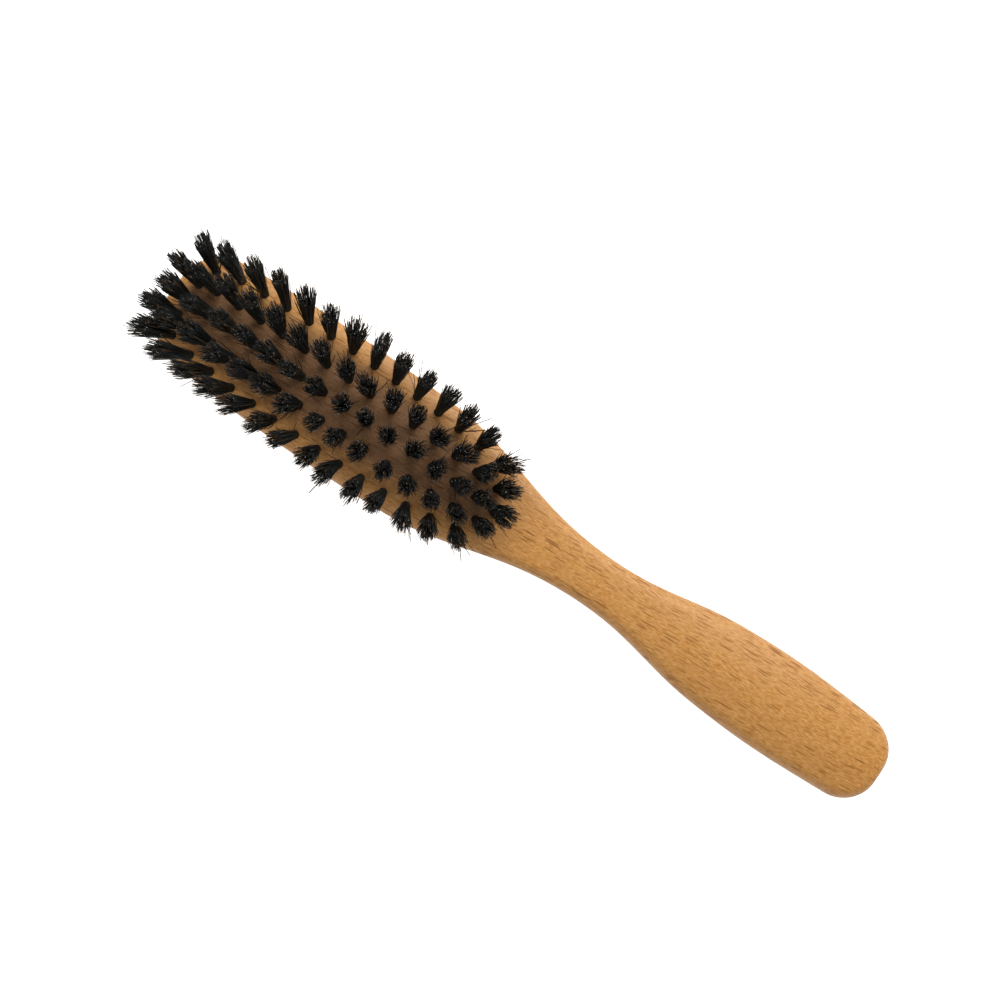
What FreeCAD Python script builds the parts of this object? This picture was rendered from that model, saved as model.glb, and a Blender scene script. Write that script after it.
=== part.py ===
"""Body dry brush: a one-piece beech block with a handle, five staggered rows of natural
bristle tufts that fan outwards, and a flat wire anchor that staples each tuft in its hole.

Millimetres. +X runs from the head to the end of the handle, +Y across the brush and +Z out of
the bristle face. The origin is on the flat back, under the middle of the bristle field.
"""
import FreeCAD, Part
import math
import os

Vector = FreeCAD.Vector

# ---- bristle field -------------------------------------------------------------------------
TUFT_PITCH = 6.62         # from one tuft to the next in the same row
RANK_COUNT = 30           # crosswise ranks, half a pitch apart, that alternate two and three tufts
END_PULL = 1.6            # how far the first and the last rank are set back into the field
ROW_RIM = 4.35            # from the outline in to the line that an outer row follows
INNER_ROW = 6.2           # from the middle row to an inner row, in the middle of the field
INNER_FOLLOW = 0.65       # how much of an outer row's closing in an inner row takes part in
FAN_LENGTH_X = 170.0      # the tufts lean lengthwise as if they came from a point this far below
FAN_LENGTH_Y = 44.0       # and crosswise as if from a line this far below the face

# ---- holes, tufts and anchors --------------------------------------------------------------
HOLE_DIAMETER = 2.4
HOLE_DEPTH = 8.0
TUFT_FIT = 0.05           # gap between a tuft and the wall of its hole
TIP_GAP = 0.4             # left between spread tufts where their holes stand closest in a row
BRISTLE_LENGTH = 12.2     # from the crown of the face up to the plane the ends are trimmed to
NECK_OF_TUFT = 0.7        # how far above the face a tuft starts to spread
ANCHOR_LENGTH = 3.3
ANCHOR_DEPTH = 1.6
ANCHOR_THICKNESS = 0.35
ANCHOR_LIFT = 0.9         # wood floor of the hole up to the anchor's lower edge
ANCHOR_FIT = 0.03         # gap round an anchor in its pocket and in its tuft

# ---- wooden body, plan ---------------------------------------------------------------------
HEAD_WIDTH = 34.4
HEAD_TIP_WIDTH = 29.4     # the sides' spacing at the tip, before its corners are rounded
TIP_MARGIN = 5.5          # from the first rank to the tip of the head
TIP_BOW = 0.8             # how far the tip bulges
TIP_CORNER = 11.5
NECK_WIDTH = 13.85
NECK_RUN = 32.4           # from the last rank to the narrowest place
HANDLE_WIDTH = 25.1
HANDLE_RUN = 55.2         # from the narrowest place to the handle's widest
END_RUN = 32.7            # from there to the end of the handle
END_WIDTH = 22.2
END_BOW = 0.6
END_CORNER = 9.0

# ---- wooden body, side view ----------------------------------------------------------------
TIP_THICKNESS = 12.2
HEAD_THICKNESS = 13.0
NECK_THICKNESS = 10.8
HANDLE_THICKNESS = 12.2
END_THICKNESS = 9.6
FACE_LEVEL = 0.55         # share of the field, about its middle, over which the face is level
FIELD_END_DROP = 0.15     # how much lower the face is at the field's end, towards the neck
TIP_SLOPE = 0.06          # how steeply the face falls at the very tip of the head
END_SLOPE = 0.175         # and at the very end of the handle
HEAD_CROWN = 1.4          # how far the face falls from its middle to the head's edges
HANDLE_CROWN = 2.8
TOP_ROUND = 2.8           # rounding of the upper edges
BACK_ROUND = 3.2          # rounding of the lower edges

# ---- worked out ----------------------------------------------------------------------------
HALF_FIELD = (RANK_COUNT - 1) / 2 * TUFT_PITCH / 2
TIP_X = -HALF_FIELD + END_PULL - TIP_MARGIN
NECK_X = HALF_FIELD - END_PULL + NECK_RUN
HANDLE_X = NECK_X + HANDLE_RUN
END_X = HANDLE_X + END_RUN
TRIM_Z = HEAD_THICKNESS + BRISTLE_LENGTH
TUFT_TIP_DIAMETER = TUFT_PITCH - END_PULL - TIP_GAP
ABOVE = 60.0              # reach of the cutting solids above and beside the brush
PAST_END = 20.0           # how far the crowned block runs past both ends of the body
PAST_SIDE = 3.0           # and past its sides
PAST_FACE = 6.0           # how far a drill's cylinder reaches out of the face


def between(start, end, share):
    return start + (end - start) * share


def side_points():
    """Places along the body and its half width there, from the tip of the head to the handle's end.

    Each run goes from one named width to the next; the shares say how far along the run a point is
    and how much of the change in width it has made by then.
    """
    runs = ((0, NECK_X, HEAD_WIDTH, NECK_WIDTH,
             ((0.235, 0.04), (0.393, 0.137), (0.592, 0.486), (0.752, 0.80))),
            (NECK_X, HANDLE_X, NECK_WIDTH, HANDLE_WIDTH,
             ((0.21, 0.115), (0.395, 0.43), (0.58, 0.76), (0.77, 0.93))),
            (HANDLE_X, END_X - END_BOW, HANDLE_WIDTH, END_WIDTH, ((0.54, 0.42),)))
    points = [(TIP_X + TIP_BOW, HEAD_TIP_WIDTH / 2),
              (between(TIP_X, 0, 0.45), between(HEAD_TIP_WIDTH, HEAD_WIDTH, 0.72) / 2), (0, HEAD_WIDTH / 2)]
    for start_x, end_x, start_width, end_width, shares in runs:
        for along, change in shares + ((1.0, 1.0),):
            points.append((between(start_x, end_x, along), between(start_width, end_width, change) / 2))
    return points


def plan_solid():
    """The outline seen from above, carried straight up, with its four corners rounded."""
    left = [Vector(x, y, 0) for x, y in side_points()]
    right = [Vector(x, -y, 0) for x, y in side_points()]
    edges = []
    for side in (left, right):
        spline = Part.BSplineCurve()
        spline.interpolate(side)
        edges.append(spline.toShape())
    edges.append(Part.Arc(left[0], Vector(TIP_X, 0, 0), right[0]).toShape())
    edges.append(Part.Arc(left[-1], Vector(END_X, 0, 0), right[-1]).toShape())
    outline = Part.Wire(Part.__sortEdges__(edges))
    solid = Part.Face(outline).extrude(Vector(0, 0, ABOVE))
    for corner, radius in ((left[0], TIP_CORNER), (right[0], TIP_CORNER), (left[-1], END_CORNER),
                           (right[-1], END_CORNER)):
        upright = [edge for edge in solid.Edges if upright_at(edge, corner)]
        solid = solid.makeFillet(radius, upright)
    return solid


def upright_at(edge, corner):
    """True for the vertical edge that stands on the given corner."""
    middle = edge.BoundBox.Center
    return edge.BoundBox.ZLength > ABOVE / 2 and math.hypot(middle.x - corner.x, middle.y - corner.y) < 0.01


def side_view():
    """Places along the body, the height of the face's middle there, and its crown.

    The first and the last lie past the body, where its end slopes lead.
    """
    level = FACE_LEVEL * HALF_FIELD
    return ((TIP_X - PAST_END, TIP_THICKNESS - TIP_SLOPE * PAST_END, HEAD_CROWN),
            (TIP_X, TIP_THICKNESS, HEAD_CROWN),
            (-level, HEAD_THICKNESS, HEAD_CROWN),
            (0, HEAD_THICKNESS, HEAD_CROWN),
            (level, HEAD_THICKNESS, HEAD_CROWN),
            (HALF_FIELD, HEAD_THICKNESS - FIELD_END_DROP, HEAD_CROWN),
            (NECK_X, NECK_THICKNESS, HANDLE_CROWN),
            (HANDLE_X, HANDLE_THICKNESS, HANDLE_CROWN),
            (END_X, END_THICKNESS, HANDLE_CROWN),
            (END_X + PAST_END, END_THICKNESS - END_SLOPE * PAST_END, HANDLE_CROWN))


def crown_radius(width, crown):
    """Radius of the arc that falls by the crown from the middle of a width to its edges."""
    return ((width / 2) ** 2 + crown ** 2) / (2 * crown)


def crowned_solid():
    """A long block whose top follows the side view and is crowned across."""
    reach = max(HEAD_WIDTH, HANDLE_WIDTH) / 2 + PAST_SIDE
    sections = []
    for x, height, crown in side_view():
        radius = crown_radius(HEAD_WIDTH if crown == HEAD_CROWN else HANDLE_WIDTH, crown)
        drop = radius - math.sqrt(radius ** 2 - reach ** 2)
        low_left, low_right = Vector(x, reach, 0), Vector(x, -reach, 0)
        high_left, high_right = Vector(x, reach, height - drop), Vector(x, -reach, height - drop)
        sections.append(Part.Wire([Part.makeLine(low_left, high_left),
                                   Part.Arc(high_left, Vector(x, 0, height), high_right).toShape(),
                                   Part.makeLine(high_right, low_right), Part.makeLine(low_right, low_left)]))
    return Part.makeLoft(sections, True)


def blank_body(plan):
    """The wooden body before its holes are bored, with its upper and lower edges rounded."""
    body = plan.common(crowned_solid()).Solids[0]
    back_edges = [edge for edge in body.Edges if edge.BoundBox.ZMax < 0.01]
    body = body.makeFillet(BACK_ROUND, back_edges)
    top_edges = [edge for edge in body.Edges if edge.BoundBox.ZMin > BACK_ROUND + 0.01
                 and math.hypot(edge.BoundBox.XLength, edge.BoundBox.YLength) > 0.01]
    return body.makeFillet(TOP_ROUND, top_edges)


def rank_x(rank):
    """Place of a rank along the brush: even steps of half a pitch, with the end ranks set back."""
    x = -HALF_FIELD + rank * TUFT_PITCH / 2
    if rank == 0:
        x += END_PULL
    if rank == RANK_COUNT - 1:
        x -= END_PULL
    return x


def outer_row_y(x, outline):
    """How far from the middle a point at x is when it lies the rim's width inside the outline."""
    inside, outside = 0.0, HEAD_WIDTH / 2
    while outside - inside > 1e-4:
        middle = (inside + outside) / 2
        margin = outline.distToShape(Part.Vertex(x, middle, 0))[0]
        if margin > ROW_RIM and middle < HEAD_WIDTH / 2 - ROW_RIM:
            inside = middle
        else:
            outside = middle
    return inside


def row_y(row, x, outline):
    """Place of a row across the brush: an inner row follows the outer ones part of the way in."""
    outer = outer_row_y(x, outline)
    closing = 1 - outer / (HEAD_WIDTH / 2 - ROW_RIM)
    inner = INNER_ROW * (1 - INNER_FOLLOW * closing)
    return {"a": outer, "b": inner, "c": 0.0, "d": -inner, "e": -outer}[row]


def rows_of(rank):
    """The rows that have a tuft in this rank: the last rank closes the middle row only."""
    if rank == RANK_COUNT - 1:
        return ("c",)
    return ("b", "d") if rank % 2 == 0 else ("a", "c", "e")


def tuft_frame(x, y):
    """Placement whose origin is the floor of a hole and whose z axis is the tuft's direction."""
    direction = Vector(x / FAN_LENGTH_X, y / FAN_LENGTH_Y, 1).normalize()
    radius = crown_radius(HEAD_WIDTH, HEAD_CROWN)
    face_z = HEAD_THICKNESS - radius + math.sqrt(radius ** 2 - y ** 2)
    floor = Vector(x, y, face_z) - direction * HOLE_DEPTH
    return FreeCAD.Placement(floor, FreeCAD.Rotation(Vector(1, 0, 0), Vector(0, 1, 0), direction, "ZXY"))


def placed(shape, frame):
    shape = shape.copy()
    shape.Placement = frame
    return shape


def anchor_block(gap):
    """The flat wire anchor, or with a gap the room that it lies in, resting on its lower edge."""
    length, thickness = ANCHOR_LENGTH + 2 * gap, ANCHOR_THICKNESS + 2 * gap
    corner = Vector(-length / 2, -thickness / 2, ANCHOR_LIFT)
    return Part.makeBox(length, thickness, ANCHOR_DEPTH + gap, corner)


def tuft_block(frame):
    """A folded bundle: straight in its hole, spreading above the face, slotted for its anchor."""
    neck = HOLE_DEPTH + NECK_OF_TUFT
    radius = HOLE_DIAMETER / 2 - TUFT_FIT
    spread = (TUFT_TIP_DIAMETER / 2 - radius) / (BRISTLE_LENGTH - NECK_OF_TUFT)
    reach = 1.5 * BRISTLE_LENGTH
    outline = Part.makePolygon([Vector(0, 0, 0), Vector(radius, 0, 0), Vector(radius, 0, neck),
                                Vector(radius + spread * reach, 0, neck + reach),
                                Vector(0, 0, neck + reach), Vector(0, 0, 0)])
    bundle = Part.Face(outline).revolve(Vector(0, 0, 0), Vector(0, 0, 1), 360)
    width, window = 2 * HOLE_DIAMETER, ANCHOR_THICKNESS + 2 * ANCHOR_FIT
    slot = Part.makeBox(width, window, ANCHOR_DEPTH + 2 * ANCHOR_FIT,
                        Vector(-width / 2, -window / 2, ANCHOR_LIFT - ANCHOR_FIT))
    return placed(bundle.cut(slot), frame)


trimming = Part.makeBox(4 * ABOVE + 4 * HALF_FIELD, 4 * ABOVE, ABOVE,
                        Vector(-2 * ABOVE - 2 * HALF_FIELD, -2 * ABOVE, TRIM_Z))
plan = plan_solid()
outline = min(plan.Faces, key=lambda face: face.CenterOfMass.z).OuterWire
nodes = {}
bores = []
pockets = []
anchors = {row: [] for row in "abcde"}
for rank in range(RANK_COUNT):
    tufts = []
    for row in rows_of(rank):
        x = rank_x(rank)
        frame = tuft_frame(x, row_y(row, x, outline))
        tufts.append(tuft_block(frame).cut(trimming).Solids[0])
        bores.append(placed(Part.makeCylinder(HOLE_DIAMETER / 2, HOLE_DEPTH + PAST_FACE), frame))
        pockets.append(placed(anchor_block(ANCHOR_FIT), frame))
        anchors[row].append(placed(anchor_block(0), frame))
    nodes["tuft_rank_%02d" % (rank + 1)] = Part.makeCompound(tufts)
for row, wires in anchors.items():
    nodes["anchors_row_" + row] = Part.makeCompound(wires)
nodes["brush_body"] = blank_body(plan).cut(bores).cut(pockets).Solids[0]

os.makedirs("parts", exist_ok=True)
for name, shape in nodes.items():
    shape.exportStep("parts/" + name + ".step")
    print(name, len(shape.Solids), "solids, valid", shape.isValid(), "%.1f mm3" % shape.Volume)
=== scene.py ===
import bmesh
import bpy
import numpy as np
from mathutils import Matrix, Vector


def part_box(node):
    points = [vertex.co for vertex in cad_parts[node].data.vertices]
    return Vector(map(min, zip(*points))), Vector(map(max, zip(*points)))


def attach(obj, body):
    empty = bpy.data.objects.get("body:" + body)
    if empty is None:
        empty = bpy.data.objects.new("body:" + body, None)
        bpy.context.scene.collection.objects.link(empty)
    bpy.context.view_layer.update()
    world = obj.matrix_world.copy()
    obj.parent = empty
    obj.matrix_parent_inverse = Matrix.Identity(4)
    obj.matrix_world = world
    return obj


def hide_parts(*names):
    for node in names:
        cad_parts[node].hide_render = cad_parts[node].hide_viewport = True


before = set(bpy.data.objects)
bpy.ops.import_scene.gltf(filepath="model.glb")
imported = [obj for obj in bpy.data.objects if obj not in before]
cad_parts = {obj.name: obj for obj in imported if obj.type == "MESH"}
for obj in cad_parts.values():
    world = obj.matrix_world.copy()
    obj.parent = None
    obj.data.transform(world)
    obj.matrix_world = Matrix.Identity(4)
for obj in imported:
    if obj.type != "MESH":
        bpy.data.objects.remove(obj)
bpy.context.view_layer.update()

# ---- studio --------------------------------------------------------------------------------
# The brush lies on its back on a white light table and is seen from straight above, close by,
# turned so that the handle points to the lower right. Three large softboxes stand round it, the
# strongest on its +Y side, and a pale room fills in.
HANDLE_TURN = np.radians(34.6)
BRUSH_MIDDLE = Vector((0.05, 0, 0))
LENS_OVER = Vector((0.04685, -0.0077, 0.2605))
AIM = Vector((0.0468, 0.0031, 0.0065))
camera = bpy.data.objects.new("camera", bpy.data.cameras.new("camera"))
bpy.context.scene.collection.objects.link(camera)
camera.data.lens = 35.6
camera.data.sensor_width = 36.0
camera.data.clip_start = 0.01
view_back = (LENS_OVER - AIM).normalized()
view_right = Vector((np.cos(HANDLE_TURN), np.sin(HANDLE_TURN), 0))
view_up = view_back.cross(view_right).normalized()
view_right = view_up.cross(view_back)
axes = Matrix((view_right, view_up, view_back)).transposed().to_4x4()
camera.matrix_world = Matrix.Translation(LENS_OVER) @ axes
bpy.context.scene.camera = camera
bpy.context.scene.view_settings.view_transform = "Standard"

world = bpy.data.worlds.new("studio")
world.use_nodes = True
room = world.node_tree.nodes["Background"]
room.inputs["Color"].default_value = (0.96, 0.98, 1.0, 1.0)
room.inputs["Strength"].default_value = 0.27
bpy.context.scene.world = world


def softbox(name, bearing, elevation, size, power):
    """A square lamp a metre from the brush's middle, at a bearing from +X and a height in degrees."""
    turn, rise = np.radians(bearing), np.radians(elevation)
    away = Vector((np.cos(turn) * np.cos(rise), np.sin(turn) * np.cos(rise), np.sin(rise)))
    lamp = bpy.data.objects.new(name, bpy.data.lights.new(name, "AREA"))
    lamp.data.size = size
    lamp.data.energy = power
    facing = away.to_track_quat("Z", "Y").to_matrix().to_4x4()
    lamp.matrix_world = Matrix.Translation(away + BRUSH_MIDDLE) @ facing
    bpy.context.scene.collection.objects.link(lamp)


softbox("key_light", 94, 40, 1.0, 10.8)
softbox("head_light", 235, 35, 0.8, 1.9)
softbox("fill_light", 300, 58, 0.9, 1.1)
bpy.data.lights["fill_light"].color = (1.0, 0.92, 0.78)

TABLE_HALF, TABLE_DROP = 1.5, 1e-4
corners = [(x * TABLE_HALF, y * TABLE_HALF, -TABLE_DROP)
           for x, y in ((-1, -1), (1, -1), (1, 1), (-1, 1))]
table_top = bpy.data.meshes.new("table")
table_top.from_pydata(corners, [], [(0, 1, 2, 3)])
table = bpy.data.objects.new("table", table_top)
bpy.context.scene.collection.objects.link(table)
table_paint = bpy.data.materials.new("table_white")
table_paint.use_nodes = True
shader = table_paint.node_tree.nodes["Principled BSDF"]
shader.inputs["Base Color"].default_value = (0.85, 0.85, 0.85, 1)
shader.inputs["Roughness"].default_value = 0.9
shader.inputs["Emission Color"].default_value = (1, 1, 1, 1)
shader.inputs["Emission Strength"].default_value = 0.85
table.data.materials.append(table_paint)
table.visible_diffuse = False

# ---- wooden body ---------------------------------------------------------------------------
# One piece of beech: a flat-backed head with a lightly crowned face, a waisted neck and a rounded
# handle, cut to its outline, rounded over at both edges, sanded and oiled. Among the tufts, and onto
# the neck beside them, its face carries painted shade.
HEAD_WIDTH, HEAD_TIP_WIDTH, NECK_WIDTH = 0.0344, 0.0294, 0.01385
HANDLE_WIDTH, END_WIDTH = 0.0251, 0.0222
TIP_THICKNESS, HEAD_THICKNESS, NECK_THICKNESS = 0.0122, 0.0130, 0.0108
HANDLE_THICKNESS, END_THICKNESS = 0.0122, 0.0096
HEAD_CROWN, HANDLE_CROWN, TIP_SLOPE, END_SLOPE = 0.0014, 0.0028, 0.06, 0.175
FACE_LEVEL, FIELD_END_DROP = 0.55, 0.00015
TIP_BOW, END_BOW, TIP_CORNER, END_CORNER = 0.0008, 0.0006, 0.0115, 0.0090
TOP_ROUND, BACK_ROUND = 0.0028, 0.0032
HALF_FIELD, HANDLE_RUN, END_RUN, PAST_END = 0.047995, 0.0552, 0.0327, 0.020
low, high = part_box("brush_body")
TIP_X, END_X = low.x, high.x
HANDLE_X = END_X - END_RUN
NECK_X = HANDLE_X - HANDLE_RUN
SIDE_POINTS, END_POINTS, CORNER_POINTS, OUTLINE_POINTS = 6000, 60, 200, 460


def spline(x, stations):
    """Natural cubic through (place, value) stations, whose bending changes evenly between them.

    The second derivatives m solve h0*m0 + 2*(h0+h1)*m1 + h1*m2 = 6*(slope1 - slope0) at each station.
    """
    at, value = np.array(stations, float).T
    gap = np.diff(at)
    slope = np.diff(value) / gap
    system, load = np.eye(len(at)), np.zeros(len(at))
    for k in range(1, len(at) - 1):
        system[k, k - 1:k + 2] = gap[k - 1], 2 * (gap[k - 1] + gap[k]), gap[k]
        load[k] = 6 * (slope[k] - slope[k - 1])
    bend = np.linalg.solve(system, load)
    k = np.clip(np.searchsorted(at, x) - 1, 0, len(gap) - 1)
    back, ahead = at[k + 1] - x, x - at[k]
    start = (value[k] / gap[k] - bend[k] * gap[k] / 6) * back
    finish = (value[k + 1] / gap[k] - bend[k + 1] * gap[k] / 6) * ahead
    return (bend[k] * back ** 3 + bend[k + 1] * ahead ** 3) / (6 * gap[k]) + start + finish


def between(start, end, share):
    """start + (end - start) * share."""
    return start + (end - start) * share


def half_width(x):
    """Half the body's width before its corners are rounded."""
    stations = [(TIP_X + TIP_BOW, HEAD_TIP_WIDTH / 2),
                (between(TIP_X, 0, 0.45), between(HEAD_TIP_WIDTH, HEAD_WIDTH, 0.72) / 2),
                (0, HEAD_WIDTH / 2)]
    for start, end, wide, narrow, shares in (
            (0, NECK_X, HEAD_WIDTH, NECK_WIDTH,
             ((0.235, 0.04), (0.393, 0.137), (0.592, 0.486), (0.752, 0.80))),
            (NECK_X, HANDLE_X, NECK_WIDTH, HANDLE_WIDTH,
             ((0.21, 0.115), (0.395, 0.43), (0.58, 0.76), (0.77, 0.93))),
            (HANDLE_X, END_X - END_BOW, HANDLE_WIDTH, END_WIDTH, ((0.54, 0.42),))):
        for along, change in shares + ((1.0, 1.0),):
            stations.append((between(start, end, along), between(wide, narrow, change) / 2))
    return spline(x, stations)


def face_height(x, y):
    """Height of the crowned upper side: the side view's curve, less a round fall towards the edges."""
    level = FACE_LEVEL * HALF_FIELD
    side = spline(x, [(TIP_X - PAST_END, TIP_THICKNESS - TIP_SLOPE * PAST_END), (TIP_X, TIP_THICKNESS),
                      (-level, HEAD_THICKNESS), (0, HEAD_THICKNESS), (level, HEAD_THICKNESS),
                      (HALF_FIELD, HEAD_THICKNESS - FIELD_END_DROP), (NECK_X, NECK_THICKNESS),
                      (HANDLE_X, HANDLE_THICKNESS), (END_X, END_THICKNESS),
                      (END_X + PAST_END, END_THICKNESS - END_SLOPE * PAST_END)])
    handle_share = np.clip((x - HALF_FIELD) / (NECK_X - HALF_FIELD), 0, 1)
    handle_share = handle_share * handle_share * (3 - 2 * handle_share)
    crown_head = HEAD_CROWN / (HEAD_WIDTH / 2) ** 2
    crown_handle = HANDLE_CROWN / (HANDLE_WIDTH / 2) ** 2
    return side - between(crown_head, crown_handle, handle_share) * y ** 2


def corner(side, inward, end_x, bow, half, radius):
    """Where a corner circle touches the side and the bowed end.

    The end is part of a circle through (end_x, 0) and (end_x + bow, half). The corner's centre lies one
    radius inside both that circle and the side, so the side set in by the radius is searched for the
    place that is nearest to it.
    """
    big = (half ** 2 + bow ** 2) / (2 * abs(bow))
    middle = np.array([end_x + np.sign(bow) * big, 0.0])
    miss = np.hypot(*(side + inward * radius - middle).T) - (big - radius)
    touching = int(np.argmin(np.abs(miss)))
    centre = side[touching] + inward[touching] * radius
    towards = (centre - middle) / np.hypot(*(centre - middle))
    return touching, centre, middle, big, towards


def outline(count):
    """Upper half of the plan outline, from the tip's middle to the end's middle, in even steps."""
    x = np.linspace(TIP_X + TIP_BOW, END_X - END_BOW, SIDE_POINTS)
    middle_of_side = SIDE_POINTS // 2
    side = np.column_stack([x, half_width(x)])
    run = np.gradient(side, axis=0)
    inward = np.column_stack([run[:, 1], -run[:, 0]]) / np.hypot(*run.T)[:, None]
    halves = ((side[:middle_of_side], inward[:middle_of_side], TIP_X, TIP_BOW, HEAD_TIP_WIDTH / 2,
               TIP_CORNER),
              (side[middle_of_side:], inward[middle_of_side:], END_X, -END_BOW, END_WIDTH / 2,
               END_CORNER))
    pieces = []
    for part, normal, end_x, bow, half, radius in halves:
        touching, centre, middle, big, towards = corner(part, normal, end_x, bow, half, radius)
        angle = np.arctan2(towards[1], towards[0])
        flat = np.pi if bow > 0 else 0.0
        sweep = np.linspace(flat, angle, END_POINTS)
        end_arc = middle + big * np.column_stack([np.cos(sweep), np.sin(sweep)])
        to_side = np.arctan2(-normal[touching][1], -normal[touching][0])
        sweep = np.linspace(angle, to_side, CORNER_POINTS)
        round_arc = centre + radius * np.column_stack([np.cos(sweep), np.sin(sweep)])
        pieces.append((end_arc, round_arc, touching))
    (tip_end, tip_round, leaves_tip), (far_end, far_round, reaches_end) = pieces
    line = np.vstack([tip_end, tip_round[1:], side[leaves_tip + 1:middle_of_side + reaches_end],
                      far_round[::-1], far_end[::-1][1:]])
    walked = np.concatenate([[0], np.cumsum(np.hypot(*np.diff(line, axis=0).T))])
    even = np.linspace(0, walked[-1], count)
    line = np.column_stack([np.interp(even, walked, along) for along in line.T])
    line[[0, -1], 1] = 0
    return line


MERGED_WITHIN, SHORTEST_EDGE = 2e-6, 1e-7


def closed_grid(name, rings):
    """Mesh of a grid of points (ring, place round the ring), closed round, its doubles merged."""
    count, around = rings.shape[:2]
    near = np.arange(count - 1)[:, None] * around + np.arange(around)[None, :]
    far = np.roll(near, -1, axis=1)
    quads = np.stack([near, far, far + around, near + around], axis=-1).reshape(-1, 4)
    mesh = bpy.data.meshes.new(name)
    mesh.from_pydata(rings.reshape(-1, 3).tolist(), [], quads.tolist())
    shape = bmesh.new()
    shape.from_mesh(mesh)
    bmesh.ops.remove_doubles(shape, verts=shape.verts, dist=MERGED_WITHIN)
    bmesh.ops.dissolve_degenerate(shape, edges=shape.edges, dist=SHORTEST_EDGE)
    bmesh.ops.recalc_face_normals(shape, faces=shape.faces)
    shape.to_mesh(mesh)
    shape.free()
    return mesh


SPINE_FROM_TIP, SPINE_FROM_END = 0.014, 0.0105
FACE_RINGS, TOP_ROUND_RINGS, BACK_ROUND_RINGS, BACK_RINGS = 17, 10, 9, 9


def body_surface():
    """The body as rings about a spine, carried from the face's middle over the edge and under the back.

    Each ring is the outline. It is drawn in towards the spine on the two broad sides, and where an edge
    of radius R is rounded it is set in by R * (1 - cos a), a being the angle up from the wall. Its
    height there is the crowned face less R * (1 - sin a), or on the back R * (1 - sin a).
    """
    upper = outline(OUTLINE_POINTS)
    line = np.vstack([upper, (upper * [1, -1])[-2:0:-1]])
    run = np.roll(line, -1, axis=0) - np.roll(line, 1, axis=0)
    inward = np.column_stack([run[:, 1], -run[:, 0]]) / np.hypot(*run.T)[:, None]
    spine_x = np.clip(line[:, 0], TIP_X + SPINE_FROM_TIP, END_X - SPINE_FROM_END)
    spine = np.column_stack([spine_x, np.zeros(len(line))])
    rings = []

    def flat(radius, share, z_of):
        """A ring of a broad side, share of the way from the spine out to where the edge begins."""
        place = spine + (line + inward * radius - spine) * share
        rings.append(np.column_stack([place, z_of(place)]))

    def edge(radius, angle, z_of):
        """A ring of a rounded edge, at an angle up from the wall."""
        place = line + inward * radius * (1 - np.cos(angle))
        rings.append(np.column_stack([place, z_of(place)]))

    def face(place):
        """Height of the crowned side over each point of a ring."""
        return face_height(place[:, 0], place[:, 1])

    for share in np.linspace(0, 1, FACE_RINGS)[:-1]:
        flat(TOP_ROUND, share, face)
    for angle in np.linspace(np.pi / 2, 0, TOP_ROUND_RINGS):
        edge(TOP_ROUND, angle, lambda place, angle=angle: face(place) - TOP_ROUND * (1 - np.sin(angle)))
    top_of_wall = face(line) - TOP_ROUND
    for share in (0.33, 0.67):
        edge(0, 0, lambda place, share=share: between(top_of_wall, BACK_ROUND, share))
    for angle in np.linspace(0, np.pi / 2, BACK_ROUND_RINGS):
        height = np.full(len(line), BACK_ROUND * (1 - np.sin(angle)))
        edge(BACK_ROUND, angle, lambda place, height=height: height)
    for share in np.linspace(1, 0, BACK_RINGS)[1:]:
        flat(BACK_ROUND, share, lambda place: np.zeros(len(line)))
    return closed_grid("beech_body", np.array(rings))


GAP_BETWEEN_TUFTS, TOP_SLACK, FLOOR_SLACKS = 0.002, 1e-5, (4e-4, 4e-4, 2e-5)


def tuft_axes(node):
    """Hole floor and trimmed end of each tuft of a rank, read off the rank's CAD solids.

    The solids stand well apart across the brush, so a gap in y divides them. A tuft's end is the middle
    of its flat top; its floor is the middle of the points that lie lowest along its own direction.
    """
    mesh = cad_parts[node].data
    points = np.empty(len(mesh.vertices) * 3)
    mesh.vertices.foreach_get("co", points)
    points = points.reshape(-1, 3)
    points = points[np.argsort(points[:, 1])]
    splits = np.nonzero(np.diff(points[:, 1]) > GAP_BETWEEN_TUFTS)[0] + 1
    axes = []
    for tuft in np.split(points, splits):
        top = tuft[tuft[:, 2] > tuft[:, 2].max() - TOP_SLACK]
        end = (top.min(0) + top.max(0)) / 2
        floor = tuft[tuft[:, 2].argmin()]
        for slack in FLOOR_SLACKS:
            along = (end - floor) / np.linalg.norm(end - floor)
            reach = tuft @ along
            bottom = tuft[reach < reach.min() + slack]
            floor = (bottom.min(0) + bottom.max(0)) / 2
        axes.append((floor, end))
    return axes


RANKS = sorted(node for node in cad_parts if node.startswith("tuft_rank_"))
axes_of = {node: tuft_axes(node) for node in RANKS}
HOLE_RADIUS, HOLE_SIDES, DRILL_RUN = 0.0012, 20, 0.0125


def bore(floor, end):
    """A straight cutter from a hole's floor to just above the face, as (points, faces)."""
    along = (end - floor) / np.linalg.norm(end - floor)
    across = np.cross(along, [1.0, 0, 0])
    across /= np.linalg.norm(across)
    other = np.cross(along, across)
    turn = np.arange(HOLE_SIDES) * 2 * np.pi / HOLE_SIDES
    rim = HOLE_RADIUS * (np.cos(turn)[:, None] * across + np.sin(turn)[:, None] * other)
    points = np.vstack([floor + rim, floor + along * DRILL_RUN + rim])
    k = np.arange(HOLE_SIDES)
    beside = (k + 1) % HOLE_SIDES
    faces = np.column_stack([k, beside, beside + HOLE_SIDES, k + HOLE_SIDES]).tolist()
    return points, faces + [k[::-1].tolist(), (k + HOLE_SIDES).tolist()]


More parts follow.
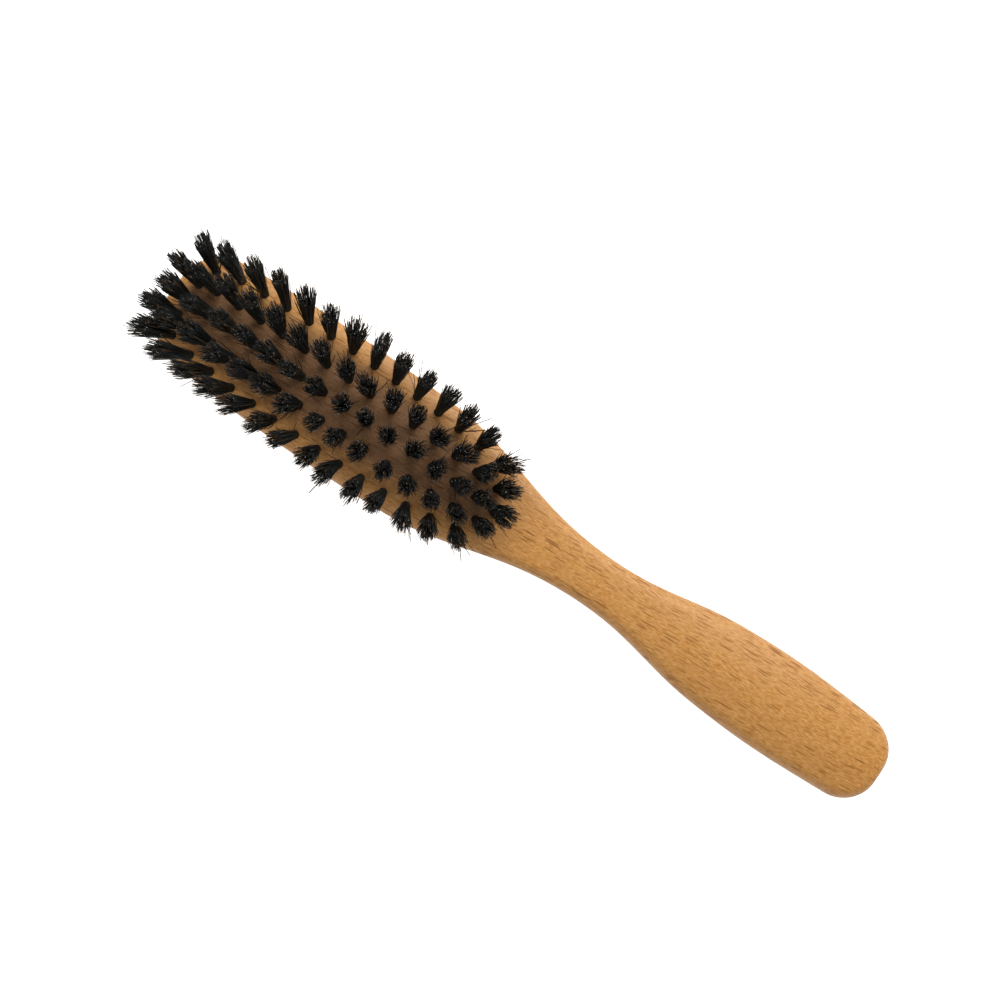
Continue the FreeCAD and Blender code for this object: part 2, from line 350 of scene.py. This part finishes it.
def bored(mesh):
    """The body with its blind holes cut out, one for each tuft."""
    points, faces = [], []
    for node in RANKS:
        for floor, end in axes_of[node]:
            ring, sides = bore(floor, end)
            faces += [[k + len(points) for k in side] for side in sides]
            points += ring.tolist()
    drill = bpy.data.meshes.new("drill")
    drill.from_pydata(points, [], faces)
    drill = bpy.data.objects.new("drill", drill)
    body = bpy.data.objects.new("beech_body", mesh)
    for piece in (drill, body):
        bpy.context.scene.collection.objects.link(piece)
    cut = body.modifiers.new("holes", "BOOLEAN")
    cut.object, cut.operation, cut.solver = drill, "DIFFERENCE", "EXACT"
    evaluated = body.evaluated_get(bpy.context.evaluated_depsgraph_get())
    finished = bpy.data.meshes.new_from_object(evaluated)
    body.modifiers.clear()
    body.data = finished
    bpy.data.objects.remove(drill)
    return body


body = bored(body_surface())
body.data.polygons.foreach_set("use_smooth", np.ones(len(body.data.polygons), bool))
SHARPEST_SMOOTH = np.radians(40)
body.data.set_sharp_from_angle(angle=SHARPEST_SMOOTH)

RIM_CLEAR, RIM_FADE, PAST_LAST_RANK, RANK_FADE = 0.0045, 0.0055, 0.0015, 0.0035
NECK_SHADOW_SHARE, NECK_FADE, LOWEST_OF_FACE = 0.28, 0.014, 0.0085


def painted_tuft_shade(x, y, z):
    """How deep a point of the face lies among the tufts, from 0 to 1: the mask of a shade painted into
    the wood where the tufts keep the light off it, and of their painted shadow reaching onto the neck.

    It is the smaller of (distance in from the side - RIM_CLEAR) / RIM_FADE and (distance in from a line
    PAST_LAST_RANK beyond the last rank) / RANK_FADE. The handle's half has at least NECK_SHADOW_SHARE as
    far as the last rank, running out evenly over NECK_FADE. The walls' lower part and the back have
    none.
    """
    from_side = (half_width(x) - np.abs(y) - RIM_CLEAR) / RIM_FADE
    from_rank = (HALF_FIELD + PAST_LAST_RANK - np.abs(x)) / RANK_FADE
    painted_neck_shadow = NECK_SHADOW_SHARE * np.clip(1 - (x - HALF_FIELD) / NECK_FADE, 0, 1) * (x > 0)
    depth = np.maximum(np.clip(np.minimum(from_side, from_rank), 0, 1), painted_neck_shadow)
    return depth * (z > LOWEST_OF_FACE)


# A mask for painted shade: the face among the tufts, and the neck beside them, is darkened as the tufts'
# shade.
points = np.empty(len(body.data.vertices) * 3)
body.data.vertices.foreach_get("co", points)
depth = painted_tuft_shade(*points.reshape(-1, 3).T).astype(np.float32)
body.data.attributes.new("painted_tuft_shade", "FLOAT", "POINT").data.foreach_set("value", depth)

DARK_BAND, PALE_BAND, RED_MOTTLE = (0.58, 0.264, 0.059), (0.65, 0.306, 0.072), (0.64, 0.262, 0.060)
DARK_PORES, PALE_PORES = (0.76, 0.58, 0.12), (1.24, 1.42, 1.88)
# PAINTED_TUFT_SHADE is painted shade: the wood among the tufts is multiplied by it.
RAY_FLECK, PAINTED_TUFT_SHADE = (0.31, 0.108, 0.010), (0.50, 0.50, 0.74)
GRAIN_TURN, SWAY = np.radians(-4.0), 0.003


def beech_grain():
    """Beech as cut along the grain: short dark ray flecks, fine pores, bands and a mottle.

    The colour is that of the bands, mixed with the mottle's, times the pores', mixed with the flecks',
    and among the tufts darker and greyer: painted shade, where the tufts keep the light off the wood. A
    cell's size is along, across and down through the grain.
    """
    group = bpy.data.node_groups.new("beech_grain", "ShaderNodeTree")
    group.interface.new_socket("Vector", in_out="INPUT", socket_type="NodeSocketVector")
    group.interface.new_socket("Color", in_out="OUTPUT", socket_type="NodeSocketColor")
    group.interface.new_socket("Roughness", in_out="OUTPUT", socket_type="NodeSocketFloat")
    group.interface.new_socket("Height", in_out="OUTPUT", socket_type="NodeSocketFloat")
    nodes, links = group.nodes, group.links
    start, finish = nodes.new("NodeGroupInput"), nodes.new("NodeGroupOutput")

    def fed(socket, value):
        """Gives a socket a number, a colour or another node's output."""
        if isinstance(value, (int, float)):
            socket.default_value = value
        elif isinstance(value, tuple):
            socket.default_value = value + (1,)
        else:
            links.new(value, socket)

    def sum_of(operation, a, b=0.0, c=0.0, clamp=False):
        """One step of arithmetic on up to three values."""
        node = nodes.new("ShaderNodeMath")
        node.operation, node.use_clamp = operation, clamp
        for socket, value in zip(node.inputs, (a, b, c)):
            fed(socket, value)
        return node.outputs[0]

    def stretched(source, cell):
        """Coordinates in which a cell of the given size, in metres, is one unit each way."""
        node = nodes.new("ShaderNodeMapping")
        node.inputs["Scale"].default_value = [1 / size for size in cell]
        links.new(source, node.inputs["Vector"])
        return node.outputs[0]

    def noise(source, cell, detail=2.0, rough=0.5):
        """Smooth noise from 0 to 1 whose lumps are one cell long."""
        node = nodes.new("ShaderNodeTexNoise")
        node.inputs["Scale"].default_value = 1.0
        node.inputs["Detail"].default_value = detail
        node.inputs["Roughness"].default_value = rough
        links.new(stretched(source, cell), node.inputs["Vector"])
        return node.outputs["Fac"]

    def swing(source, cell, reach):
        """Smooth noise about nought: (noise - 0.5) * reach."""
        return sum_of("MULTIPLY", sum_of("SUBTRACT", noise(source, cell, 1.0), 0.5), reach)

    def mixed(factor, first, second, blend="MIX"):
        """The first colour blended towards the second, or towards their product."""
        node = nodes.new("ShaderNodeMix")
        node.data_type, node.blend_type = "RGBA", blend
        for place, value in ((0, factor), (6, first), (7, second)):
            fed(node.inputs[place], value)
        return node.outputs[2]

    turned = nodes.new("ShaderNodeMapping")
    turned.inputs["Rotation"].default_value = (0, 0, GRAIN_TURN)
    links.new(start.outputs["Vector"], turned.inputs["Vector"])
    shift = nodes.new("ShaderNodeCombineXYZ")
    links.new(swing(turned.outputs[0], (0.03, 0.009, 0.012), SWAY), shift.inputs["Y"])
    swayed = nodes.new("ShaderNodeVectorMath")
    links.new(turned.outputs[0], swayed.inputs[0])
    links.new(shift.outputs[0], swayed.inputs[1])
    grain = swayed.outputs[0]
    strings = swing(grain, (0.035, 0.0011, 0.003), 0.20)

    def flecks(cell, least, most, edge):
        """Lens-shaped dashes, one in some of the cells, each of its own size and darkness.

        A dash is min(1, (size - distance from its cell's point) / edge), no less than 0, times its
        darkness. Its size lies between least and most, and is a little larger along some lines.
        """
        node = nodes.new("ShaderNodeTexVoronoi")
        node.inputs["Scale"].default_value = 1.0
        node.inputs["Randomness"].default_value = 1.0
        links.new(stretched(grain, cell), node.inputs["Vector"])
        split = nodes.new("ShaderNodeSeparateColor")
        links.new(node.outputs["Color"], split.inputs[0])
        size = sum_of("ADD", sum_of("MULTIPLY_ADD", split.outputs[0], most - least, least), strings)
        inside = sum_of("DIVIDE", sum_of("SUBTRACT", size, node.outputs["Distance"]), edge, clamp=True)
        return sum_of("MULTIPLY", inside, sum_of("MULTIPLY_ADD", split.outputs[1], 0.5, 0.5))

    long_flecks = flecks((0.0064, 0.00056, 0.0018), 0.12, 0.46, 0.11)
    short_flecks = flecks((0.0040, 0.00044, 0.0013), 0.02, 0.38, 0.12)
    fleck = sum_of("MAXIMUM", long_flecks, sum_of("MULTIPLY", short_flecks, 0.6))
    fine = noise(grain, (0.0014, 0.00028, 0.00032), 2.0, 0.6)
    pores = sum_of("MULTIPLY_ADD", fine, 2.2, -0.6, clamp=True)
    bands = noise(grain, (0.08, 0.0030, 0.004), 2.0, 0.5)
    mottle = noise(grain, (0.016, 0.006, 0.008), 3.0, 0.6)
    wood = mixed(bands, DARK_BAND, PALE_BAND)
    wood = mixed(sum_of("MULTIPLY", mottle, 0.16), wood, RED_MOTTLE)
    wood = mixed(1.0, wood, mixed(pores, DARK_PORES, PALE_PORES), "MULTIPLY")
    wood = mixed(sum_of("MULTIPLY", fleck, 0.95), wood, RAY_FLECK)
    # Painted shade: among the tufts the wood is multiplied darker and greyer, standing in for the tufts'
    # shade.
    shaded = nodes.new("ShaderNodeAttribute")
    shaded.attribute_name = "painted_tuft_shade"
    wood = mixed(shaded.outputs["Fac"], wood, mixed(1.0, wood, PAINTED_TUFT_SHADE, "MULTIPLY"))
    links.new(wood, finish.inputs["Color"])
    roughness = sum_of("MULTIPLY_ADD", pores, 0.14, sum_of("MULTIPLY_ADD", fleck, 0.2, 0.40))
    links.new(roughness, finish.inputs["Roughness"])
    height = sum_of("MULTIPLY_ADD", pores, 0.30, sum_of("MULTIPLY", fleck, -0.4))
    links.new(height, finish.inputs["Height"])
    return group


beech = bpy.data.materials.new("oiled_beech")
beech.use_nodes = True
nodes, links = beech.node_tree.nodes, beech.node_tree.links
shader = nodes["Principled BSDF"]
where = nodes.new("ShaderNodeTexCoord")
grain = nodes.new("ShaderNodeGroup")
grain.node_tree = beech_grain()
links.new(where.outputs["Object"], grain.inputs["Vector"])
links.new(grain.outputs["Color"], shader.inputs["Base Color"])
links.new(grain.outputs["Roughness"], shader.inputs["Roughness"])
shader.inputs["Specular IOR Level"].default_value = 0.55
relief = nodes.new("ShaderNodeBump")
relief.inputs["Strength"].default_value = 0.55
relief.inputs["Distance"].default_value = 0.00014
links.new(grain.outputs["Height"], relief.inputs["Height"])
links.new(relief.outputs["Normal"], shader.inputs["Normal"])
body.data.materials.clear()
body.data.materials.append(beech)
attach(body, "root")
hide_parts("brush_body")

# ---- tufts ---------------------------------------------------------------------------------
# Natural bristle, nearly black. Each tuft is a bundle folded in two under its wire anchor, so a
# strand is one bristle with two free ends. The bundle is straight in its hole, fans out above the
# face, gathers into small locks towards its ends and is trimmed level, with a few brown strays. The
# foot of each tuft, which the bundle shades itself, is lightened with painted light, and some cut ends
# carry painted glints.
STRANDS, STRAND_SIDES, LOCKS = 92, 4, 11
STRAND_RADIUS = 0.000100
BUNDLE_RADIUS = 0.00103
SPREAD = 2.62
HOLE_DEPTH = 0.008
FOLD_HEIGHT, BESIDE_WIRE, BESIDE_HEIGHT = (0.00016, 0.0007), 0.00032, 0.0009
ALONG_WIRE, ACROSS_WIRE = 0.8, 0.52
LEAN, BEND, SPREAD_VARIES, SQUASH_VARIES, END_VARIES = 0.00042, 0.00014, 0.08, 0.10, 0.11
LOCK_AREA, LOCK_PULL, LOCK_STEP, TRIM_VARIES = (0.08, 1.0), (0.05, 0.35), 0.00035, 0.0005
STRAY_SHARE, STRAY_REACH, STRAY_SHORT = 0.035, (0.0004, 0.0026), (-0.0008, 0.0022)
STRAY_OUTWARD, STRAY_BEND, STRAY_THICK = 0.4, 0.0003, 1.1
THICKNESS, TIP_THICKNESS_SHARE = (0.75, 1.2), (0.6, 1.0)
BROWN_SHARE, BROWN_TONE, STRAY_TONE, BLACK_TONE = 0.07, (0.6, 1.0), (0.85, 1.0), 0.55
# GLINT_END_SHARE of the cut ends are painted glints, GLINT_END of the way to a light grey; the rest are
# DARK_END paler than their strand.
GLINT_END_SHARE, GLINT_END, DARK_END = 0.13, (0.3, 1.0), 0.04
GOLDEN_ANGLE = 2.39996
LEVELS = np.array([0.0, 0.25, 0.5, 0.75, 1.0])


def tuft_strands(floor, end, seed):
    """Strands of one tuft as an array (strand, ring, side, 3), with their tones, the paleness of their
    cut ends, the palest of them painted glints, and how far down the tuft each ring is, which sets
    painted light at the tuft's shaded foot.

    A leg leaves the hole at a point of a sunflower spiral and stands at
    point + (its end - point) * (0.85 u + 0.15 u^2) + lean * u + bend * sin(pi u), u running from face
    to end. Its end is SPREAD times as far out as its point, drawn towards the nearest lock. A stray's
    end is pushed on outwards and along the tuft's own wisp.
    """
    random = np.random.default_rng(seed)
    along = (end - floor) / np.linalg.norm(end - floor)
    wire = np.array([1.0, 0, 0]) - along[0] * along
    wire /= np.linalg.norm(wire)
    across = np.cross(along, wire)
    free = np.linalg.norm(end - floor) - HOLE_DEPTH
    count = STRANDS
    k = np.arange(2 * count)
    spiral = BUNDLE_RADIUS * np.sqrt((k + 0.5) / (2 * count))
    turn = k * GOLDEN_ANGLE + random.uniform(0, 6.28)
    points = np.column_stack([spiral * np.cos(turn), spiral * np.sin(turn)])
    points = points[np.argsort(points[:, 1])]
    left, right = points[:count], points[count:]
    left = left[np.argsort(left[:, 0])]
    right = right[np.argsort(right[:, 0])]
    lean = random.normal(0, LEAN, 2)
    spread = SPREAD * random.normal(1.0, SPREAD_VARIES)
    squash = np.exp(random.normal(0, SQUASH_VARIES) * np.array([1, -1]))
    lock_turn = random.uniform(0, 2 * np.pi, LOCKS)
    lock_reach = BUNDLE_RADIUS * spread * np.sqrt(random.uniform(*LOCK_AREA, LOCKS))
    locks = np.column_stack([lock_reach * np.cos(lock_turn), lock_reach * np.sin(lock_turn)])
    lock_length = random.normal(0, LOCK_STEP, LOCKS)
    wisp_turn = random.uniform(0, 2 * np.pi)
    wisp = np.array([np.cos(wisp_turn), np.sin(wisp_turn)])

    def leg(root):
        """Ring centres of one leg above the face, and which of its strands stray."""
        ends = root * spread * squash * random.normal(1.0, END_VARIES, (count, 1))
        nearest = np.argmin(np.linalg.norm(ends[:, None] - locks[None], axis=2), axis=1)
        ends = ends + (locks[nearest] - ends) * random.uniform(*LOCK_PULL, (count, 1))
        stray = random.random((count, 1)) < STRAY_SHARE
        outward = root / (np.linalg.norm(root, axis=1, keepdims=True) + 1e-6)
        pushed = stray * (STRAY_OUTWARD * outward + wisp)
        ends = ends + pushed * random.uniform(*STRAY_REACH, (count, 1))
        bend = random.normal(0, BEND, (count, 2)) + stray * random.normal(0, STRAY_BEND, (count, 2))
        u = LEVELS[None, :, None]
        place = root[:, None] + (ends - root)[:, None] * (0.85 * u + 0.15 * u ** 2) + lean * u
        place = place + bend[:, None] * np.sin(np.pi * u)
        level = -(ends @ [wire[2], across[2]]) / along[2]
        length = free + 0.8 * level + lock_length[nearest]
        length = length - np.abs(random.normal(0, TRIM_VARIES, count))
        length = length - stray[:, 0] * random.uniform(*STRAY_SHORT, count)
        height = HOLE_DEPTH + LEVELS[None] * length[:, None]
        return np.concatenate([place, height[..., None]], axis=2), stray[:, 0]

    legs = []
    for root in (left, right):
        above, stray = leg(root)
        side = np.sign(root[:, 1].mean())
        from_wire = side * (BESIDE_WIRE + ACROSS_WIRE * np.abs(root[:, 1]))
        beside = np.column_stack([root[:, 0] * ALONG_WIRE, from_wire, np.full(count, BESIDE_HEIGHT)])
        legs.append((np.concatenate([beside[:, None], above], axis=1), stray))
    fold = np.column_stack([(left[:, 0] + right[:, 0]) * (ALONG_WIRE / 2), np.zeros(count),
                            random.uniform(*FOLD_HEIGHT, count)])
    path = np.concatenate([legs[0][0][:, ::-1], fold[:, None], legs[1][0]], axis=1)
    step = np.gradient(path, axis=1)
    step /= np.linalg.norm(step, axis=2, keepdims=True)
    first = np.array([1.0, 0, 0]) - step * step[..., :1]
    first /= np.linalg.norm(first, axis=2, keepdims=True)
    second = np.cross(step, first)
    strays = legs[0][1] | legs[1][1]
    thick = STRAND_RADIUS * random.uniform(*THICKNESS, count) * np.where(strays, STRAY_THICK, 1.0)
    tips = random.uniform(*TIP_THICKNESS_SHARE, (2, count))
    rings = path.shape[1]
    taper = np.ones((count, rings))
    fade = LEVELS ** 1.5
    taper[:, rings - len(LEVELS):] = 1 + (tips[1][:, None] - 1) * fade
    taper[:, :len(LEVELS)] = 1 + (tips[0][:, None] - 1) * fade[::-1]
    turn = np.arange(STRAND_SIDES) * 2 * np.pi / STRAND_SIDES
    radius = (thick[:, None] * taper)[..., None, None]
    skin = np.cos(turn)[:, None] * first[:, :, None] + np.sin(turn)[:, None] * second[:, :, None]
    skin = path[:, :, None] + radius * skin
    skin = floor + skin[..., :1] * wire + skin[..., 1:2] * across + skin[..., 2:] * along
    brown = random.random(count) < BROWN_SHARE
    tone = np.where(brown, random.uniform(*BROWN_TONE, count), BLACK_TONE * random.random(count))
    tone = np.where(strays, random.uniform(*STRAY_TONE, count), tone)
    pale = random.random((count, 2)) < GLINT_END_SHARE
    cut = np.where(pale, random.uniform(*GLINT_END, (count, 2)), DARK_END)
    # The foot share sets painted light, lifting the strands towards the face where the bundle shades
    # itself; brown strands get less.
    foot = np.clip(1.5 - 1.5 * np.abs(np.linspace(-1, 1, rings)), 0, 1) * (1 - tone)[:, None]
    return skin, tone, cut, foot


def strand_mesh(name, tufts):
    """Mesh of strands: tubes between neighbouring rings, with a flat end at each tip.

    It carries strand_tone, from black to brown, strand_foot_light, from 0 at the tips to 1 at the face
    and less on a brown strand, for painted light at the tuft's shaded foot, and end_pale_and_glint,
    which is how pale a flat end is, the palest being painted glints.
    """
    skins, tones, cuts, feet = (np.concatenate(part) for part in zip(*tufts))
    count, rings, sides = skins.shape[:3]
    ring = np.arange(rings - 1)[:, None] * sides
    side = np.arange(sides)[None, :]
    beside = (side + 1) % sides
    tube = np.stack([ring + side, ring + beside, ring + beside + sides, ring + side + sides], axis=-1)
    caps = np.array([np.arange(sides)[::-1], (rings - 1) * sides + np.arange(sides)])
    one = np.vstack([tube.reshape(-1, 4), caps])
    faces = (one[None] + (np.arange(count) * rings * sides)[:, None, None]).reshape(-1, 4)
    mesh = bpy.data.meshes.new(name)
    mesh.from_pydata(skins.reshape(-1, 3).tolist(), [], faces.tolist())
    tone = np.repeat(tones, rings * sides).astype(np.float32)
    mesh.attributes.new("strand_tone", "FLOAT", "POINT").data.foreach_set("value", tone)
    foot = np.repeat(feet.ravel(), sides).astype(np.float32)
    mesh.attributes.new("strand_foot_light", "FLOAT", "POINT").data.foreach_set("value", foot)
    cut = np.zeros((count, len(one)), np.float32)
    cut[:, -2:] = cuts
    mesh.attributes.new("end_pale_and_glint", "FLOAT", "FACE").data.foreach_set("value", cut.ravel())
    smooth = np.ones((count, len(one)), bool)
    smooth[:, -2:] = False
    mesh.polygons.foreach_set("use_smooth", smooth.ravel())
    return mesh


bristle = bpy.data.materials.new("dark_bristle")
bristle.use_nodes = True
nodes, links = bristle.node_tree.nodes, bristle.node_tree.links
shader = nodes["Principled BSDF"]
tone = nodes.new("ShaderNodeAttribute")
tone.attribute_name = "strand_tone"
shade = nodes.new("ShaderNodeValToRGB")
blackest, brown = shade.color_ramp.elements
blackest.color, brown.color = (0.0110, 0.0122, 0.0114, 1), (0.105, 0.054, 0.018, 1)
shade.color_ramp.elements.new(0.6).color = (0.0190, 0.0198, 0.0172, 1)
links.new(tone.outputs["Fac"], shade.inputs["Fac"])
# Painted light: towards the face the strands are lightened and greyed, standing in for light at the
# tuft's own shaded foot.
foot = nodes.new("ShaderNodeAttribute")
foot.attribute_name = "strand_foot_light"
foot_painted_light = nodes.new("ShaderNodeMix")
foot_painted_light.data_type, foot_painted_light.blend_type = "RGBA", "MULTIPLY"
foot_painted_light.inputs[7].default_value = (6.0, 7.4, 8.2, 1)
links.new(foot.outputs["Fac"], foot_painted_light.inputs[0])
links.new(shade.outputs["Color"], foot_painted_light.inputs[6])
# Painted glint: some cut ends are mixed far towards a light grey, standing in for the light they catch;
# the rest only a little.
end_pale_and_glint = nodes.new("ShaderNodeAttribute")
end_pale_and_glint.attribute_name = "end_pale_and_glint"
pale = nodes.new("ShaderNodeMix")
pale.data_type = "RGBA"
pale.inputs[7].default_value = (0.46, 0.45, 0.43, 1)
links.new(end_pale_and_glint.outputs["Fac"], pale.inputs[0])
links.new(foot_painted_light.outputs[2], pale.inputs[6])
links.new(pale.outputs[2], shader.inputs["Base Color"])
shader.inputs["Roughness"].default_value = 0.6
shader.inputs["Specular IOR Level"].default_value = 0.20

for number, node in enumerate(RANKS):
    made = [tuft_strands(floor, end, 100 * number + place)
            for place, (floor, end) in enumerate(axes_of[node])]
    piece = bpy.data.objects.new("bristles_" + node[-2:], strand_mesh(node, made))
    bpy.context.scene.collection.objects.link(piece)
    piece.data.materials.append(bristle)
    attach(piece, "root")
    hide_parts(node)

# ---- wire anchors --------------------------------------------------------------------------
# Flat drawn wire, cut to length and driven across the fold of each bundle, so that its two ends bite
# into the wood. The anchors keep their own solids and are only given their metal.
wire = bpy.data.materials.new("flat_wire")
wire.use_nodes = True
nodes, links = wire.node_tree.nodes, wire.node_tree.links
shader = nodes["Principled BSDF"]
where = nodes.new("ShaderNodeTexCoord")
drawn = nodes.new("ShaderNodeMapping")
drawn.inputs["Scale"].default_value = (400, 9000, 9000)
lines = nodes.new("ShaderNodeTexNoise")
lines.inputs["Scale"].default_value = 1.0
steel = nodes.new("ShaderNodeMix")
steel.data_type = "RGBA"
steel.inputs[6].default_value = (0.40, 0.39, 0.37, 1)
steel.inputs[7].default_value = (0.66, 0.65, 0.62, 1)
links.new(where.outputs["Object"], drawn.inputs["Vector"])
links.new(drawn.outputs[0], lines.inputs["Vector"])
links.new(lines.outputs["Fac"], steel.inputs[0])
links.new(steel.outputs[2], shader.inputs["Base Color"])
shader.inputs["Metallic"].default_value = 1.0
shader.inputs["Roughness"].default_value = 0.38
for row in "abcde":
    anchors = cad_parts["anchors_row_" + row]
    anchors.data.materials.clear()
    anchors.data.materials.append(wire)
